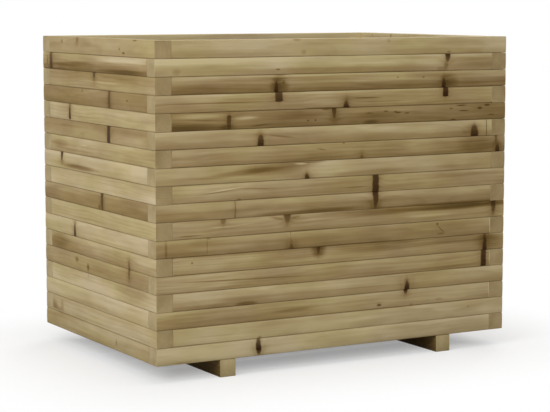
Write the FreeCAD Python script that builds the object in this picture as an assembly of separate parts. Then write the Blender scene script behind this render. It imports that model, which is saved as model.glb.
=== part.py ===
"""Raised garden bed: a deep open box of stacked square laths that stands on two skids.

The walls have no frame. Each course is a pinwheel of four laths: every lath runs past one
neighbour and butts against the other, so all long laths are alike and so are all end laths.
Alternate courses turn the other way, which locks the corners together like a box joint.
A post in each inner corner is screwed to every lath end beside it, so that no fastener shows
outside, and the slatted floor lies on the skids inside the walls.

Millimetres. +X runs along the long walls, the front wall is at -Y and +Z is up. The origin is
on the ground, under the middle of the box.
"""
import FreeCAD, Part
import math
import os

from FreeCAD import Vector

# Box over the outside of the walls
BOX_LENGTH = 900.0
BOX_WIDTH = 600.0
COURSE_COUNT = 18

# Planed square laths of the walls
LATH_THICKNESS = 38.0
LATH_HEIGHT = 38.0
LATH_EDGE_CHAMFER = 2.5

# Skids under the box, from the front wall to the back wall
SKID_WIDTH = 38.0
SKID_HEIGHT = 38.0
SKID_EDGE_CHAMFER = 2.5
SKID_INSET = 150.0

# Posts in the inner corners, which stand on the floor and stop short of the rim
POST_SIDE = 38.0
POST_EDGE_CHAMFER = 2.5
POST_BELOW_RIM = 18.0

# Floor boards, laid lengthwise on the skids with drain gaps between them
FLOOR_BOARD_WIDTH = 98.0
FLOOR_BOARD_THICKNESS = 18.0
FLOOR_BOARD_EDGE_CHAMFER = 1.5
FLOOR_LEAST_GAP = 5.0
FLOOR_END_CLEARANCE = 2.0

# Countersunk screws, drawn six-sided. Each goes through a bored timber and bites into a second,
# where it cuts its own way.
SCREW_SIDES = 6
SCREW_DIAMETER = 4.5
SCREW_HEAD_DIAMETER = 9.0
SCREW_CLEARANCE = 0.25
WALL_SCREW_BITE = 22.0
FLOOR_SCREW_BITE = 22.0
FLOOR_SCREW_SPACING = 56.0
SKID_SCREW_BITE = 24.0

# Where the pieces meet
WALL_BOTTOM = SKID_HEIGHT
WALL_TOP = WALL_BOTTOM + COURSE_COUNT * LATH_HEIGHT
FLOOR_TOP = SKID_HEIGHT + FLOOR_BOARD_THICKNESS
INNER_LENGTH = BOX_LENGTH - 2 * LATH_THICKNESS
INNER_WIDTH = BOX_WIDTH - 2 * LATH_THICKNESS
SKID_X = BOX_LENGTH / 2 - SKID_INSET - SKID_WIDTH / 2
LONG_WALL_Y = (BOX_WIDTH - LATH_THICKNESS) / 2
END_WALL_X = (BOX_LENGTH - LATH_THICKNESS) / 2
POST_X = (INNER_LENGTH - POST_SIDE) / 2
POST_Y = (INNER_WIDTH - POST_SIDE) / 2
POST_TOP = WALL_TOP - POST_BELOW_RIM

ALONG_X = Vector(1, 0, 0)
ALONG_Y = Vector(0, 1, 0)
ALONG_Z = Vector(0, 0, 1)
SIDES = {"left": -1, "right": 1}
FACES = {"front": -1, "back": 1}


def timber(centre, size, run, chamfer):
    """A planed timber of the given x, y and z size, with the four edges along its run eased."""
    block = Part.makeBox(size.x, size.y, size.z, centre - size / 2)
    long_edges = [edge for edge in block.Edges if abs(edge.Curve.Direction.dot(run)) > 0.5]
    return block.makeChamfer(chamfer, long_edges)


def screw_form(sections, seat, drive):
    """A solid through rings of (diameter, depth), from the seat along the drive direction."""
    turns = [2 * math.pi * step / SCREW_SIDES for step in range(SCREW_SIDES)]
    rings = []
    for diameter, depth in sections:
        radius = diameter / 2
        rings.append([Vector(radius * math.cos(t), radius * math.sin(t), depth) for t in turns])
    outlines = [rings[0], rings[-1]]
    for upper, lower in zip(rings, rings[1:]):
        for this in range(SCREW_SIDES):
            after = (this + 1) % SCREW_SIDES
            outlines.append([upper[this], upper[after], lower[after], lower[this]])
    skin = [Part.Face(Part.makePolygon(points + points[:1])) for points in outlines]
    form = Part.makeSolid(Part.makeShell(skin))
    form.fix(0, 0, 0)
    form.Placement = FreeCAD.Placement(seat, FreeCAD.Rotation(ALONG_Z, drive))
    return form


def screw(seat, drive, length):
    """A countersunk screw whose head lies flush at its seat."""
    head_depth = (SCREW_HEAD_DIAMETER - SCREW_DIAMETER) / 2
    head = [(SCREW_HEAD_DIAMETER, 0), (SCREW_DIAMETER, head_depth)]
    return screw_form(head + [(SCREW_DIAMETER, length)], seat, drive)


def bored(piece, seats, depth):
    """A timber with a countersunk clearance hole at each seat, right through its depth."""
    bore_diameter = SCREW_DIAMETER + 2 * SCREW_CLEARANCE
    sink_depth = (SCREW_HEAD_DIAMETER - bore_diameter) / 2
    sink = [(SCREW_HEAD_DIAMETER, 0), (bore_diameter, sink_depth)]
    bore = sink + [(bore_diameter, depth + SCREW_CLEARANCE)]
    return piece.cut([screw_form(bore, seat, drive) for seat, drive in seats])


def course_laths(course):
    """The long pair and the end pair of one course, counted from 0 at the bottom."""
    turn = 1 if course % 2 else -1
    overlap = turn * LATH_THICKNESS / 2
    z = WALL_BOTTOM + (course + 0.5) * LATH_HEIGHT
    long_size = Vector(BOX_LENGTH - LATH_THICKNESS, LATH_THICKNESS, LATH_HEIGHT)
    end_size = Vector(LATH_THICKNESS, BOX_WIDTH - LATH_THICKNESS, LATH_HEIGHT)
    long_pair = []
    end_pair = []
    for side in (-1, 1):
        long_centre = Vector(-side * overlap, side * LONG_WALL_Y, z)
        long_pair.append(timber(long_centre, long_size, ALONG_X, LATH_EDGE_CHAMFER))
        end_centre = Vector(side * END_WALL_X, side * overlap, z)
        end_pair.append(timber(end_centre, end_size, ALONG_Y, LATH_EDGE_CHAMFER))
    return long_pair, end_pair


def post_screw_seats(side, face):
    """Where two screws start in every course of one post, one into each wall.

    They cross inside the post, so one sits a third of the way up the part of the course that
    the post covers and the other two thirds.
    """
    seats = []
    for course in range(COURSE_COUNT):
        low = max(WALL_BOTTOM + course * LATH_HEIGHT, FLOOR_TOP)
        high = min(WALL_BOTTOM + (course + 1) * LATH_HEIGHT, POST_TOP)
        third = (high - low) / 3
        long_wall_seat = Vector(side * POST_X, face * (POST_Y - POST_SIDE / 2), low + third)
        end_wall_seat = Vector(side * (POST_X - POST_SIDE / 2), face * POST_Y, high - third)
        seats.append((long_wall_seat, ALONG_Y * face))
        seats.append((end_wall_seat, ALONG_X * side))
    return seats


def corner_post(side, face):
    """The post in one inner corner, against the end wall and the long wall."""
    centre = Vector(side * POST_X, face * POST_Y, (FLOOR_TOP + POST_TOP) / 2)
    size = Vector(POST_SIDE, POST_SIDE, POST_TOP - FLOOR_TOP)
    post = timber(centre, size, ALONG_Z, POST_EDGE_CHAMFER)
    return bored(post, post_screw_seats(side, face), POST_SIDE)


def skid_screw_seats(side):
    """Where a screw starts at each end of a skid, on its way up into the lowest lath."""
    return [(Vector(side * SKID_X, face * LONG_WALL_Y, 0), ALONG_Z) for face in FACES.values()]


def skid(side):
    """One skid, flush with the front and back walls."""
    centre = Vector(side * SKID_X, 0, SKID_HEIGHT / 2)
    size = Vector(SKID_WIDTH, BOX_WIDTH, SKID_HEIGHT)
    bar = timber(centre, size, ALONG_Y, SKID_EDGE_CHAMFER)
    return bored(bar, skid_screw_seats(side), SKID_HEIGHT)


def floor_board_rows():
    """The y of each floor board's middle: as many boards as fit, with even gaps."""
    count = int((INNER_WIDTH - FLOOR_LEAST_GAP) // (FLOOR_BOARD_WIDTH + FLOOR_LEAST_GAP))
    gap = (INNER_WIDTH - count * FLOOR_BOARD_WIDTH) / (count + 1)
    pitch = FLOOR_BOARD_WIDTH + gap
    return [(row - (count - 1) / 2) * pitch for row in range(count)]


def floor_screw_seats(y):
    """Where two screws start above each skid on the floor board at y."""
    offsets = (-FLOOR_SCREW_SPACING / 2, FLOOR_SCREW_SPACING / 2)
    return [
        (Vector(side * SKID_X, y + offset, FLOOR_TOP), -ALONG_Z)
        for side in SIDES.values()
        for offset in offsets
    ]


def floor_board(y):
    """One floor board, with room at both ends for the timber to swell."""
    centre = Vector(0, y, SKID_HEIGHT + FLOOR_BOARD_THICKNESS / 2)
    length = INNER_LENGTH - 2 * FLOOR_END_CLEARANCE
    size = Vector(length, FLOOR_BOARD_WIDTH, FLOOR_BOARD_THICKNESS)
    board = timber(centre, size, ALONG_X, FLOOR_BOARD_EDGE_CHAMFER)
    return bored(board, floor_screw_seats(y), FLOOR_BOARD_THICKNESS)


def screws(seats, length):
    """One screw of the given length at each seat."""
    return [screw(seat, drive, length) for seat, drive in seats]


def build():
    """All nodes by name, each with its list of solids."""
    nodes = {}
    for course in range(COURSE_COUNT):
        long_pair, end_pair = course_laths(course)
        nodes[f"course_{course + 1:02d}_long_laths"] = long_pair
        nodes[f"course_{course + 1:02d}_end_laths"] = end_pair
    wall_seats = []
    skid_seats = []
    floor_seats = []
    for side_name, side in SIDES.items():
        nodes[f"{side_name}_skid"] = [skid(side)]
        skid_seats += skid_screw_seats(side)
        for face_name, face in FACES.items():
            nodes[f"{face_name}_{side_name}_corner_post"] = [corner_post(side, face)]
            wall_seats += post_screw_seats(side, face)
    for number, row in enumerate(floor_board_rows(), start=1):
        nodes[f"floor_board_{number}"] = [floor_board(row)]
        floor_seats += floor_screw_seats(row)
    nodes["wall_screws"] = screws(wall_seats, POST_SIDE + WALL_SCREW_BITE)
    nodes["floor_screws"] = screws(floor_seats, FLOOR_BOARD_THICKNESS + FLOOR_SCREW_BITE)
    nodes["skid_screws"] = screws(skid_seats, SKID_HEIGHT + SKID_SCREW_BITE)
    return nodes


os.makedirs("parts", exist_ok=True)
for node, solids in build().items():
    Part.makeCompound(solids).exportStep(f"parts/{node}.step")
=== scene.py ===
"""A raised garden bed of impregnated pine: stacked square laths on two skids, in a white studio.

The pieces are made in the order in which the bed is put together. Lengths are in metres where a
piece is modelled, and in millimetres where the figure of its wood is drawn.
"""
import collections
import math

import bmesh
import bpy
from mathutils import Euler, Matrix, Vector


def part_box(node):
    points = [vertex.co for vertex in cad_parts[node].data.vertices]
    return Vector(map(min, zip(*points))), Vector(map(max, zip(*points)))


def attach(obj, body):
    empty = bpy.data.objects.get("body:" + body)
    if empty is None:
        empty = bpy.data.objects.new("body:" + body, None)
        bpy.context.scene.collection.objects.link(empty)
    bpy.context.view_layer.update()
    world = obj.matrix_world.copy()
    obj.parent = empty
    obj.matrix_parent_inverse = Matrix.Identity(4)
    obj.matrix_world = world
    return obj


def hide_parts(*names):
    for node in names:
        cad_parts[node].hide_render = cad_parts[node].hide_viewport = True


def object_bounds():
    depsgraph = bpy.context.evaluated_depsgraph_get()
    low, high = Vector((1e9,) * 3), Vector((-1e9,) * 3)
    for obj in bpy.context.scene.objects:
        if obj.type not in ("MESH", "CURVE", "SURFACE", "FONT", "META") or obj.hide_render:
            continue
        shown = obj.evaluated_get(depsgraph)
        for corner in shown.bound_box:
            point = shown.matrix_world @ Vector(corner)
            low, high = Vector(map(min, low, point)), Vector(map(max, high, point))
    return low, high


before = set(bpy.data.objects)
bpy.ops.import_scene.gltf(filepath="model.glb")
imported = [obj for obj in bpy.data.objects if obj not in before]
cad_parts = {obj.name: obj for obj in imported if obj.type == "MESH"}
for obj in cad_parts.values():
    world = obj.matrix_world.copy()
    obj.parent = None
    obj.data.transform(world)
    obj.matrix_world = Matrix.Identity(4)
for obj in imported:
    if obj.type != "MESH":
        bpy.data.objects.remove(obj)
cad_low, cad_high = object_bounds()

# Skids
# Two square bars of planed pine run from the front wall to the back wall and carry the bed clear of
# the ground. They are cut square, eased along their edges and countersunk below for their screws.
MM = 0.001
EDGE_EASING = 1.2 * MM
EASING_STEPS, ROUND = 2, 0.5
SAWN_ARRIS = 0.4 * MM
SKID_CUTS = 11
ALIGNED = 0.99
TIMBER_SMOOTHING = math.radians(40)
X, Y, Z = Vector((1, 0, 0)), Vector((0, 1, 0)), Vector((0, 0, 1))


def pick(piece, part, wanted):
    """Selects, in edit mode, only those corners, edges or faces of a piece that the test wants."""
    bpy.ops.mesh.select_mode(type=part)
    bpy.ops.mesh.select_all(action="DESELECT")
    shape = bmesh.from_edit_mesh(piece.data)
    parts = {"VERT": shape.verts, "EDGE": shape.edges, "FACE": shape.faces}[part]
    for item in parts:
        if wanted(item):
            item.select_set(True)
    shape.select_flush_mode()
    bmesh.update_edit_mesh(piece.data)


def runs_along(edge, run):
    """Whether an edge lies along a direction."""
    line = edge.verts[1].co - edge.verts[0].co
    return abs(line.dot(run)) > ALIGNED * line.length


def planed_timber(name, low, high, run, cuts):
    """A timber between two corners: sawn square, its long edges eased, and divided along its run."""
    bpy.ops.object.select_all(action="DESELECT")
    bpy.ops.mesh.primitive_cube_add(size=1, location=(low + high) / 2)
    bar = bpy.context.active_object
    bar.name = name
    bpy.ops.transform.resize(value=high - low)
    bpy.ops.object.transform_apply(location=True, rotation=True, scale=True)
    half_run = abs((high - low).dot(run)) / 2
    bpy.ops.object.mode_set(mode="EDIT")
    pick(bar, "EDGE", lambda edge: runs_along(edge, run))
    bpy.ops.mesh.bevel(offset=EDGE_EASING, segments=EASING_STEPS, profile=ROUND, affect="EDGES")
    pick(bar, "FACE", lambda face: abs(face.normal.dot(run)) > ALIGNED)
    bpy.ops.mesh.bevel(offset=SAWN_ARRIS, segments=1, affect="EDGES")
    pick(bar, "EDGE", lambda edge: runs_along(edge, run) and edge.calc_length() > half_run)
    bpy.ops.mesh.subdivide(number_cuts=cuts)
    bpy.ops.object.mode_set(mode="OBJECT")
    bpy.ops.object.shade_smooth_by_angle(angle=TIMBER_SMOOTHING)
    return bar


def copy_of(piece, name, shift):
    """A copy of a piece with a mesh of its own, moved to its place."""
    bpy.ops.object.select_all(action="DESELECT")
    piece.select_set(True)
    bpy.context.view_layer.objects.active = piece
    bpy.ops.object.duplicate(linked=False)
    copy = bpy.context.active_object
    copy.name = name
    bpy.ops.transform.translate(value=shift)
    bpy.ops.object.transform_apply(location=True, rotation=True, scale=True)
    return copy


def joined(pieces):
    """Several pieces made one."""
    bpy.ops.object.select_all(action="DESELECT")
    for piece in pieces:
        piece.select_set(True)
    bpy.context.view_layer.objects.active = pieces[0]
    bpy.ops.object.join()
    return bpy.context.active_object


SINK_WIDE = 9.4 * MM
SINK_NARROW = 5 * MM
SINK_DEPTH = 2.4 * MM
SINK_PROUD = 0.3 * MM
BORE_DEPTH = 6 * MM
BORE_SIDES = 16


def bore(piece, seats):
    """Sinks a countersunk hole into a piece at every seat, each given as a place and a direction."""
    bpy.ops.object.select_all(action="DESELECT")
    bits = []
    widening = (SINK_WIDE - SINK_NARROW) * SINK_PROUD / SINK_DEPTH
    for seat, drive in seats:
        bpy.ops.mesh.primitive_cone_add(
            vertices=BORE_SIDES,
            radius1=(SINK_WIDE + widening) / 2,
            radius2=SINK_NARROW / 2,
            depth=SINK_DEPTH + SINK_PROUD,
            location=seat + drive * (SINK_DEPTH - SINK_PROUD) / 2,
            rotation=Z.rotation_difference(drive).to_euler(),
        )
        bit = bpy.context.active_object
        bpy.ops.object.transform_apply(location=True, rotation=True, scale=True)
        bpy.ops.object.mode_set(mode="EDIT")
        pick(bit, "FACE", lambda face: face.normal.dot(drive) > ALIGNED)
        bpy.ops.mesh.extrude_region_move(TRANSFORM_OT_translate={"value": drive * BORE_DEPTH})
        bpy.ops.object.mode_set(mode="OBJECT")
        bits.append(bit)
    drill = joined(bits)
    bpy.context.view_layer.objects.active = piece
    cut = piece.modifiers.new("bores", "BOOLEAN")
    cut.operation = "DIFFERENCE"
    cut.solver = "EXACT"
    cut.object = drill
    bpy.ops.object.modifier_apply(modifier=cut.name)
    bpy.data.objects.remove(drill)


def feed(tree, socket, value):
    """Links a socket to another node's output, or sets it to a plain value."""
    if isinstance(value, bpy.types.NodeSocket):
        tree.links.new(value, socket)
    else:
        socket.default_value = value


def maths(tree, operation, *values):
    """One sum on numbers or sockets."""
    step = tree.nodes.new("ShaderNodeMath")
    step.operation = operation
    for socket, value in zip(step.inputs, values):
        feed(tree, socket, value)
    return step.outputs[0]


def vector_maths(tree, operation, first, second):
    """One sum on two vectors. Gives its outputs: a vector, and the number named Value."""
    step = tree.nodes.new("ShaderNodeVectorMath")
    step.operation = operation
    feed(tree, step.inputs[0], first)
    feed(tree, step.inputs[1], second)
    return step.outputs


def ease(tree, value, start, end, first=0.0, last=1.0):
    """A smooth step from one number to another while the value goes from start to end."""
    step = tree.nodes.new("ShaderNodeMapRange")
    step.interpolation_type = "SMOOTHSTEP"
    for name, number in (
        ("Value", value),
        ("From Min", start),
        ("From Max", end),
        ("To Min", first),
        ("To Max", last),
    ):
        feed(tree, step.inputs[name], number)
    return step.outputs["Result"]


def blend(tree, share, first, second):
    """A number that goes from the first to the second as the share goes from 0 to 1."""
    step = tree.nodes.new("ShaderNodeMix")
    step.data_type = "FLOAT"
    feed(tree, step.inputs["Factor"], share)
    feed(tree, step.inputs["A"], first)
    feed(tree, step.inputs["B"], second)
    return step.outputs["Result"]


NOISE_MEAN = 0.5


def stretched_noise(tree, place, stretch, detail):
    """Cloudy noise about zero, drawn out by a different amount along each direction of the timber."""
    noise = tree.nodes.new("ShaderNodeTexNoise")
    noise.inputs["Scale"].default_value = 1.0
    noise.inputs["Detail"].default_value = detail
    feed(tree, noise.inputs["Vector"], vector_maths(tree, "MULTIPLY", place, stretch)[0])
    return maths(tree, "SUBTRACT", noise.outputs[0], NOISE_MEAN)


def paint(code):
    """A colour for a node, from the six hex digits that a screen shows, by the standard screen curve."""
    shown = [int(code[place:place + 2], 16) / 255 for place in (0, 2, 4)]
    return [c / 12.92 if c <= 0.04045 else ((c + 0.055) / 1.055) ** 2.4 for c in shown] + [1.0]


def colour_ramp(tree, value, stops):
    """A colour for a number, from (number, hex colour) stops."""
    ramp = tree.nodes.new("ShaderNodeValToRGB")
    bar = ramp.color_ramp.elements
    while len(bar) < len(stops):
        bar.new(1.0)
    for element, (position, code) in zip(bar, stops):
        element.position = position
        element.color = paint(code)
    feed(tree, ramp.inputs[0], value)
    return ramp.outputs["Color"]


def lay(tree, share, under, over, way="MIX"):
    """One colour laid over another by a share."""
    laid = tree.nodes.new("ShaderNodeMix")
    laid.data_type = "RGBA"
    laid.blend_type = way
    feed(tree, laid.inputs["Factor"], share)
    feed(tree, laid.inputs["A"], under)
    feed(tree, laid.inputs["B"], over)
    return laid.outputs["Result"]


# How a timber lies: its run, how its figure is turned and mirrored to face outward, and its middle.
Lie = collections.namedtuple("Lie", "run turn mirror middle")
ALONG_X, ALONG_Y, ALONG_Z = (0, 0, 0), (0, 0, -90), (0, 90, 0)
LYING_FLAT = (-90, 0, 0)
STOCK_LENGTH = 2400
stock_used = 0


def timber_place(tree, lie):
    """Millimetres along, outward and up from a timber's middle, and the same place in the stock.

    Each timber is cut from the next length of one endless stock, so no two share their figure.
    """
    global stock_used
    coordinates = tree.nodes.new("ShaderNodeTexCoord")
    turned = tree.nodes.new("ShaderNodeMapping")
    scale = Vector(lie.mirror) / MM
    turn = Euler([math.radians(angle) for angle in lie.turn])
    turned.inputs["Scale"].default_value = scale
    turned.inputs["Rotation"].default_value = turn
    turned.inputs["Location"].default_value = -(turn.to_matrix() @ (scale * lie.middle))
    feed(tree, turned.inputs["Vector"], coordinates.outputs["Object"])
    split = tree.nodes.new("ShaderNodeSeparateXYZ")
    feed(tree, split.inputs[0], turned.outputs[0])
    in_stock = vector_maths(tree, "ADD", turned.outputs[0], (stock_used, 0, 0))
    stock_used += STOCK_LENGTH
    return split.outputs, in_stock[0]


# What is drawn on a timber: a knot is the trace of a branch that is widest and darkest at its foot
# and closes to its tip, the rounder the higher its last number, and a stain is a soft patch that is
# darker, or lighter where its depth is negative, and may rise along the timber.
Knot = collections.namedtuple("Knot", "at width foot tip dark round", defaults=[1.0, 2.0])
Stain = collections.namedtuple("Stain", "at length height spread depth rise", defaults=[0.0])
# A knot leans into the wood from the outer face. Knots and stains are full inside and ragged outside.
FACE_OUT = 19
KNOT_SLOPE = 0.3
KNOT_EDGE, KNOT_FULL, TIP_FADING = 1.4, 0.5, 0.3
FOOT_SOFT, FOOT_HALO, HALO_REACH = 2, 0.2, 10
KNOT_WOBBLE, KNOT_WOBBLE_SHARE = 3, 0.15
STAIN_WOBBLE, STAIN_FULL, STAIN_END = 0.7, 0.25, 1.1


def knot_trace(tree, place, ragged, knot):
    """How far a point lies inside a knot, and inside the swept grain around it."""
    along, outward, up = place
    length = abs(knot.tip - knot.foot)
    share = maths(tree, "DIVIDE", maths(tree, "SUBTRACT", up, knot.foot), knot.tip - knot.foot)
    above = maths(tree, "MAXIMUM", share, 0)
    below = maths(tree, "MAXIMUM", maths(tree, "MULTIPLY", share, -length / FOOT_SOFT), 0)
    wobble = KNOT_WOBBLE + KNOT_WOBBLE_SHARE * knot.width
    aside = maths(tree, "SUBTRACT", maths(tree, "MULTIPLY_ADD", ragged, wobble, along), knot.at)
    inward = maths(tree, "MULTIPLY", maths(tree, "SUBTRACT", outward, FACE_OUT), KNOT_SLOPE)
    square = maths(tree, "MULTIPLY_ADD", aside, aside, maths(tree, "MULTIPLY", inward, inward))
    closing = maths(tree, "ADD", maths(tree, "POWER", above, knot.round), below)
    closeness = maths(tree, "MULTIPLY_ADD", square, 4 / knot.width ** 2, closing)
    to_tip = maths(tree, "MINIMUM", above, 1)
    fading = maths(tree, "MULTIPLY_ADD", to_tip, -TIP_FADING * knot.dark, knot.dark)
    core = maths(tree, "MULTIPLY", ease(tree, closeness, KNOT_EDGE, KNOT_FULL), fading)
    beyond = maths(tree, "MAXIMUM", maths(tree, "SUBTRACT", share, 1), 0)
    past_foot = maths(tree, "MULTIPLY", below, FOOT_HALO)
    outside = maths(tree, "MULTIPLY_ADD", beyond, length / HALO_REACH, past_foot)
    spread = maths(tree, "DIVIDE", maths(tree, "SQRT", square), knot.width / 2 + HALO_REACH)
    spread = maths(tree, "ADD", outside, spread)
    halo = maths(tree, "DIVIDE", 1, maths(tree, "MULTIPLY_ADD", spread, spread, 1))
    strength = knot.dark * min(1, knot.width / HALO_REACH)
    return core, maths(tree, "MULTIPLY", maths(tree, "MULTIPLY", halo, halo), strength)


def stain_trace(tree, place, ragged, stain):
    """How much a stain changes the tone at a point."""
    along, _, up = place
    across = maths(tree, "MULTIPLY_ADD", ragged, stain.spread * STAIN_WOBBLE, up)
    aside = maths(tree, "SUBTRACT", along, stain.at)
    across = maths(tree, "MULTIPLY_ADD", aside, -stain.rise, across)
    x = maths(tree, "DIVIDE", aside, stain.length / 2)
    y = maths(tree, "DIVIDE", maths(tree, "SUBTRACT", across, stain.height), stain.spread / 2)
    square = maths(tree, "MULTIPLY_ADD", x, x, maths(tree, "MULTIPLY", y, y))
    return ease(tree, maths(tree, "SQRT", square), STAIN_FULL, STAIN_END, stain.depth, 0)


# Tones of impregnated pine on the ramp below, from the palest sapwood to the darkest heartwood.
PALE, STRAW, SAND, HONEY, TAN, BROWN, HEART = 1.0, 0.86, 0.74, 0.62, 0.5, 0.38, 0.24
PINE_RAMP = ((0, "594524"), (0.3, "7a623c"), (0.6, "9e8762"), (0.8, "b4a17b"), (1, "cbb998"))
IMPREGNATION = "fbfde7"
KNOT_RAMP = ((0, "8a6a3a"), (0.5, "553a18"), (1, "2d1805"))
KNOT_FIBRE = 0.6
# The impregnation tinges the wood in slow patches, from the least to the most.
TINGE_FROM, TINGE_TO, LEAST_TINGE, MOST_TINGE = -0.15, 0.18, 0.15, 0.8
# Sawn ends: the impregnation soaks into the end grain and evens its colour out.
PALE_ENDS = ((0, "978560"), (0.5, "a7956f"), (1, "b8a681"))
DULL_ENDS = ((0, "8c7852"), (0.5, "9c8861"), (1, "ac9871"))
SKID_ENDS = ((0, "a99568"), (0.5, "baa679"), (1, "c9b78c"))
SAWN_FROM, SAWN_FULL = 0.75, 0.95
END_TONE, END_CLOUDS, END_RINGS = 0.55, 1.5, -0.2
# Where the middle of the tree lay from the middle of the timber: outward and up.
FLAT_SAWN, RIFT_SAWN, QUARTER_SAWN, NEAR_HEART = (-75, -10), (-50, 55), (-6, 95), (-26, -34)
# Growth rings: their width, and how far they wander, sweep round a knot and close up along the tree.
RING_WIDTH, RING_WANDER, RING_SWEEP, TREE_TAPER = 5.5, 18, 5, 0.006
# Late wood comes in over a year and ends at once, and is stronger in some years than in others.
LATE_FROM, LATE_FULL = 0.2, 0.9
FAINTEST_YEAR, YEAR_SPREAD = 0.2, 0.8
# How the figure is drawn out along, outward and up, for each millimetre, and how fine it is.
WANDER, STREAKS, FIBRE = ((0.004, 0.012, 0.012), 2), ((0.003, 0.08, 0.08), 3), ((0.014, 0.6, 0.6), 2)
CLOUDING, TINGE = ((0.009, 0.03, 0.03), 2), ((0.0055, 0.017, 0.017), 1)
# How much it changes the tone, over a ragged step from the lower tone of a face to the upper one.
STREAK_SHARE, FIBRE_SHARE, CLOUD_SHARE, LATE_SHARE, SWEPT_SHARE = 0.26, 0.09, 0.36, -0.07, -0.25
STEP_REACH, STEP_RAGGED = 17, 26
# The planed face is dull, a little smoother on knots, and its fibre and late wood stand up slightly.
WOOD_SPECULAR = 0.06
WOOD_ROUGHNESS, STREAK_ROUGHNESS, KNOT_ROUGHNESS = 0.66, 0.25, -0.12
FIBRE_RELIEF, RING_RELIEF, KNOT_RELIEF, SAWN_RELIEF = 0.9, 0.35, -0.4, -0.7
RELIEF_STRENGTH, RELIEF_HEIGHT = 0.5, 0.4 * MM


def pine(name, lie, upper, lower, heart, marks=(), ends=PALE_ENDS, end_tone=END_TONE):
    """Planed, pressure-treated pine: growth rings round a heart, fibre, clouding, knots, end grain."""
    material = bpy.data.materials.new(name)
    material.use_nodes = True
    tree = material.node_tree
    surface = tree.nodes["Principled BSDF"]
    place, stock = timber_place(tree, lie)
    along, outward, up = place
    wander = stretched_noise(tree, stock, *WANDER)
    streaks = stretched_noise(tree, stock, *STREAKS)
    fibre = stretched_noise(tree, stock, *FIBRE)
    clouding = stretched_noise(tree, stock, *CLOUDING)
    tinge = stretched_noise(tree, stock, *TINGE)

    core, swept, stained = 0.0, 0.0, 0.0
    for mark in marks:
        if isinstance(mark, Knot):
            dark, halo = knot_trace(tree, place, streaks, mark)
            core = maths(tree, "MAXIMUM", core, dark)
            swept = maths(tree, "ADD", swept, halo)
        else:
            stained = maths(tree, "ADD", stained, stain_trace(tree, place, streaks, mark))

    across = maths(tree, "SUBTRACT", outward, heart[0])
    rise = maths(tree, "SUBTRACT", up, heart[1])
    square = maths(tree, "MULTIPLY_ADD", across, across, maths(tree, "MULTIPLY", rise, rise))
    radius = maths(tree, "MULTIPLY_ADD", wander, RING_WANDER, maths(tree, "SQRT", square))
    radius = maths(tree, "MULTIPLY_ADD", swept, RING_SWEEP, radius)
    radius = maths(tree, "MULTIPLY_ADD", along, TREE_TAPER, radius)
    rings = maths(tree, "DIVIDE", radius, RING_WIDTH)
    year = maths(tree, "FRACT", rings)
    coming, going = ease(tree, year, LATE_FROM, LATE_FULL), ease(tree, year, 1, LATE_FULL)
    late = maths(tree, "MULTIPLY", coming, going)
    season = tree.nodes.new("ShaderNodeTexWhiteNoise")
    season.noise_dimensions = "1D"
    feed(tree, season.inputs["W"], maths(tree, "FLOOR", rings))
    strength = maths(tree, "MULTIPLY_ADD", season.outputs[0], YEAR_SPREAD, FAINTEST_YEAR)
    late = maths(tree, "MULTIPLY", late, strength)

    # On the wall laths this step from the lower tone to the upper one is partly painted shade, lighter
    # at the top.
    height = maths(tree, "MULTIPLY_ADD", streaks, STEP_RAGGED, up)
    tone = blend(tree, ease(tree, height, -STEP_REACH, STEP_REACH), lower, upper)
    tone = maths(tree, "MULTIPLY_ADD", streaks, STREAK_SHARE, tone)
    tone = maths(tree, "MULTIPLY_ADD", fibre, FIBRE_SHARE, tone)
    tone = maths(tree, "MULTIPLY_ADD", clouding, CLOUD_SHARE, tone)
    tone = maths(tree, "MULTIPLY_ADD", late, LATE_SHARE, tone)
    tone = maths(tree, "MULTIPLY_ADD", swept, SWEPT_SHARE, maths(tree, "SUBTRACT", tone, stained))

    normal = tree.nodes.new("ShaderNodeNewGeometry").outputs["Normal"]
    facing = vector_maths(tree, "DOT_PRODUCT", normal, lie.run)["Value"]
    sawn = ease(tree, maths(tree, "ABSOLUTE", facing), SAWN_FROM, SAWN_FULL)
    ringed = maths(tree, "MULTIPLY_ADD", late, END_RINGS, end_tone)
    soaked = maths(tree, "MULTIPLY_ADD", clouding, END_CLOUDS, ringed)

    tinged = ease(tree, tinge, TINGE_FROM, TINGE_TO, LEAST_TINGE, MOST_TINGE)
    colour = lay(tree, tinged, colour_ramp(tree, tone, PINE_RAMP), paint(IMPREGNATION), "MULTIPLY")
    knot_tone = maths(tree, "MULTIPLY_ADD", fibre, KNOT_FIBRE, core)
    colour = lay(tree, core, colour, colour_ramp(tree, knot_tone, KNOT_RAMP))
    colour = lay(tree, sawn, colour, colour_ramp(tree, soaked, ends))
    feed(tree, surface.inputs["Base Color"], colour)

    roughness = maths(tree, "MULTIPLY_ADD", streaks, STREAK_ROUGHNESS, WOOD_ROUGHNESS)
    roughness = maths(tree, "MULTIPLY_ADD", core, KNOT_ROUGHNESS, roughness)
    feed(tree, surface.inputs["Roughness"], roughness)
    surface.inputs["Specular IOR Level"].default_value = WOOD_SPECULAR
    relief = maths(tree, "MULTIPLY", late, RING_RELIEF)
    relief = maths(tree, "MULTIPLY_ADD", fibre, FIBRE_RELIEF, relief)
    relief = maths(tree, "MULTIPLY_ADD", core, KNOT_RELIEF, relief)
    relief = maths(tree, "MULTIPLY", relief, maths(tree, "MULTIPLY_ADD", sawn, SAWN_RELIEF, 1))
    bump = tree.nodes.new("ShaderNodeBump")
    bump.inputs["Strength"].default_value = RELIEF_STRENGTH
    bump.inputs["Distance"].default_value = RELIEF_HEIGHT
    feed(tree, bump.inputs["Height"], relief)
    feed(tree, surface.inputs["Normal"], bump.outputs["Normal"])
    return material


def finish_timber(piece, node, material):
    """Puts a timber on the frame in place of its plain node, with its wood on."""
    piece.data.materials.clear()
    piece.data.materials.append(material)
    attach(piece, "root")
    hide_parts(node)


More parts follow.
